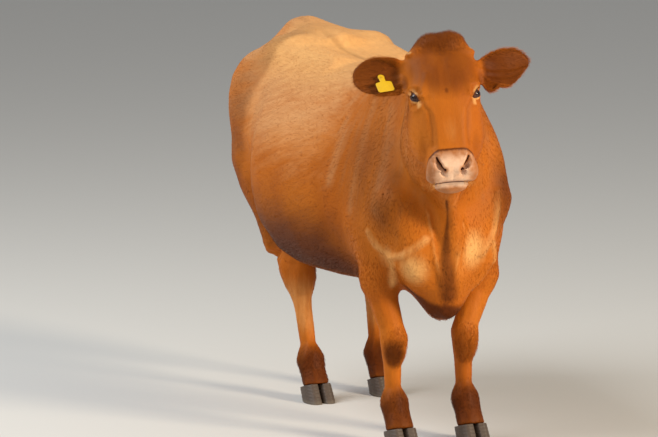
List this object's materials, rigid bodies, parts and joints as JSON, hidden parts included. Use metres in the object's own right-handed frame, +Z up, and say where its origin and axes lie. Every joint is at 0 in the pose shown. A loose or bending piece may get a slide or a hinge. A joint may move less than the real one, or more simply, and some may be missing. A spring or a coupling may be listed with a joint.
{
  "type": "standing beef cow",
  "caption": "Life-size standing hornless beef cow in a short red coat, head turned to the right, with a plain ear tag.",
  "frame": {"origin": "centre of the bounding box's footprint, at the level of the soles", "axes": "+Z up, the cow faces -Y, its left side is +X"},
  "size_m": [0.902, 2.1226, 1.5167],
  "materials": {
    "coat": "short glossy red hair",
    "tassel": "long wavy hair",
    "udder": "thinly haired skin",
    "horn": "dull layered horn",
    "eye": "wet and glossy",
    "ear_tag": "satin flexible plastic, blank"
  },
  "bodies": {
    "root": {"ear_right": "coat", "eye_right": "eye", "ear_left": "coat", "eye_left": "eye", "head": "coat", "ear_tag": "ear_tag", "ear_tag_pin": "ear_tag", "neck": "coat", "udder": "udder", "tail": "coat", "tail_tassel": "tassel", "trunk": "coat", "foreleg_right": "coat", "foreleg_right_inner_claw": "horn", "foreleg_right_inner_dewclaw": "horn", "foreleg_right_outer_claw": "horn", "foreleg_right_outer_dewclaw": "horn", "foreleg_left": "coat", "foreleg_left_inner_claw": "horn", "foreleg_left_inner_dewclaw": "horn", "foreleg_left_outer_claw": "horn", "foreleg_left_outer_dewclaw": "horn", "hindleg_right": "coat", "hindleg_right_inner_claw": "horn", "hindleg_right_inner_dewclaw": "horn", "hindleg_right_outer_claw": "horn", "hindleg_right_outer_dewclaw": "horn", "hindleg_left": "coat", "hindleg_left_inner_claw": "horn", "hindleg_left_inner_dewclaw": "horn", "hindleg_left_outer_claw": "horn", "hindleg_left_outer_dewclaw": "horn"}
  },
  "joints": []
}
